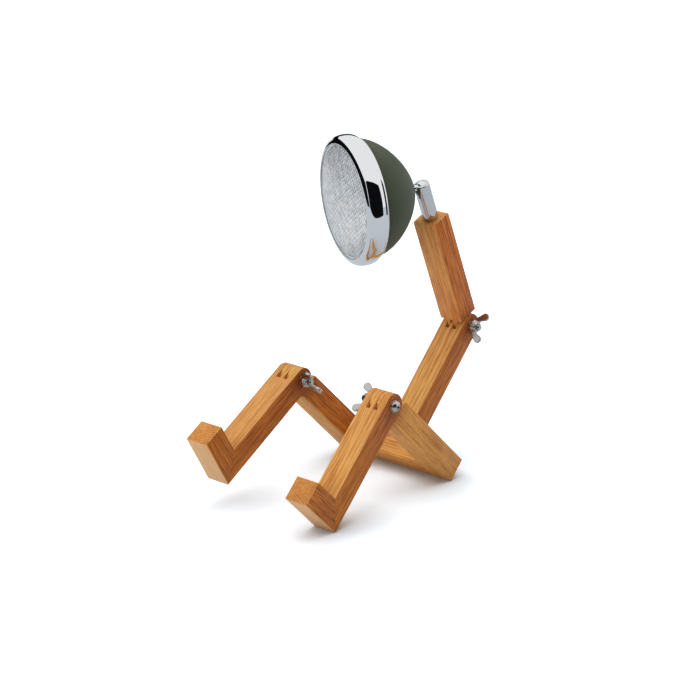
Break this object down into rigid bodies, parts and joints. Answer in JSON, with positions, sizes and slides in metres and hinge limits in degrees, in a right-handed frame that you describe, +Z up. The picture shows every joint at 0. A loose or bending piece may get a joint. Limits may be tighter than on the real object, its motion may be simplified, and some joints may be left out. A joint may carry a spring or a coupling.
{
  "type": "sitting figure desk lamp",
  "caption": "Desk lamp shaped as a sitting wooden figure with hinged knees and waist and a round chrome-rimmed headlamp on a swivelling ball neck.",
  "frame": {"origin": "on the floor, at the middle of the rear lower edge of the hip bar, which the lamp sits on", "axes": "+Z up, the figure faces -Y, its left side is +X"},
  "size_m": [0.1378, 0.278, 0.2771],
  "materials": {
    "wood": "oiled straight-grained ash, orange brown",
    "dowel_wood": "plain beech",
    "steel": "bright zinc plate",
    "brass": "plain",
    "chrome": "mirror polish",
    "nylon": "natural",
    "green_paint": "satin dark olive green",
    "rubber": "matt black",
    "lens_glass": "clear, pressed with a fine diamond relief",
    "bright_aluminium": "bright",
    "board_white": "white",
    "phosphor": "yellow silicone",
    "board_green": "solder mask",
    "black_plastic": "satin black",
    "lead_red": "red insulation"
  },
  "bodies": {
    "pelvis": {"hip_bar": "wood", "left_thigh": "wood", "right_thigh": "wood", "lower_torso": "wood", "hip_dowels": "dowel_wood", "torso_dowels": "dowel_wood", "waist_screw": "steel", "waist_washers": "steel"},
    "left_leg": {"left_shin": "wood", "left_foot": "wood", "left_foot_dowel": "dowel_wood", "left_knee_screw": "steel", "left_knee_washers": "steel"},
    "left_knee_nut": {"left_knee_wing_nut": "steel"},
    "right_leg": {"right_shin": "wood", "right_foot": "wood", "right_foot_dowel": "dowel_wood", "right_knee_screw": "steel", "right_knee_washers": "steel"},
    "right_knee_nut": {"right_knee_wing_nut": "steel"},
    "waist_nut": {"waist_wing_nut": "steel"},
    "chest": {"upper_torso": "wood", "neck_insert": "brass"},
    "neck": {"neck_plug": "steel", "neck_tube": "chrome", "disc_springs": "steel", "ball_cup": "nylon"},
    "stem": {"ball_stud": "chrome", "stem_washer": "steel", "stem_nut": "steel"},
    "head": {"head_shell": "green_paint", "chrome_rim": "chrome", "rim_screw": "steel", "lens_gasket": "rubber", "lens": "lens_glass", "reflector": "bright_aluminium", "lens_retainer": "steel", "heat_spreader": "bright_aluminium", "spreader_screws": "steel", "emitter_board": "board_white", "emitter": "phosphor", "dimmer_board": "board_green", "dimmer_parts": "black_plastic", "terminal_block": "board_white", "board_standoffs": "brass", "touch_lead": "lead_red", "cord_inlet": "black_plastic", "inlet_nut": "black_plastic"}
  },
  "joints": [
    {"name": "left_knee", "type": "hinge", "parent": "pelvis", "child": "left_leg", "pos_m": [0.047, -0.07334, 0.08392], "axis": [1, 0, 0], "range_deg": [-105, 2]},
    {"name": "right_knee", "type": "hinge", "parent": "pelvis", "child": "right_leg", "pos_m": [-0.047, -0.07334, 0.08392], "axis": [1, 0, 0], "range_deg": [-90, 16.5]},
    {"name": "waist_fold", "type": "hinge", "parent": "pelvis", "child": "chest", "pos_m": [0, 0.08328, 0.10162], "axis": [1, 0, 0], "range_deg": [-100, 22]},
    {"name": "neck_swivel", "type": "hinge", "parent": "chest", "child": "neck", "pos_m": [0, 0.04142, 0.20118], "axis": [0, -0.3875, 0.9219], "range_deg": [-123, 177]},
    {"name": "head_nod", "type": "hinge", "parent": "neck", "child": "stem", "pos_m": [0, 0.0298, 0.22884], "axis": [0.891, -0.4185, -0.1759], "range_deg": [-54, 18]},
    {"name": "head_roll", "type": "hinge", "parent": "stem", "child": "head", "pos_m": [0, 0.0298, 0.22884], "axis": [-0.4364, -0.8964, -0.0778], "range_deg": [-150, 150]},
    {"name": "left_knee_nut_turn", "type": "hinge", "parent": "left_leg", "child": "left_knee_nut", "pos_m": [0.047, -0.07334, 0.08392], "axis": [1, 0, 0], "continuous": true},
    {"name": "right_knee_nut_turn", "type": "hinge", "parent": "right_leg", "child": "right_knee_nut", "pos_m": [-0.047, -0.07334, 0.08392], "axis": [1, 0, 0], "continuous": true},
    {"name": "waist_nut_turn", "type": "hinge", "parent": "pelvis", "child": "waist_nut", "pos_m": [0, 0.08328, 0.10162], "axis": [1, 0, 0], "continuous": true}
  ]
}
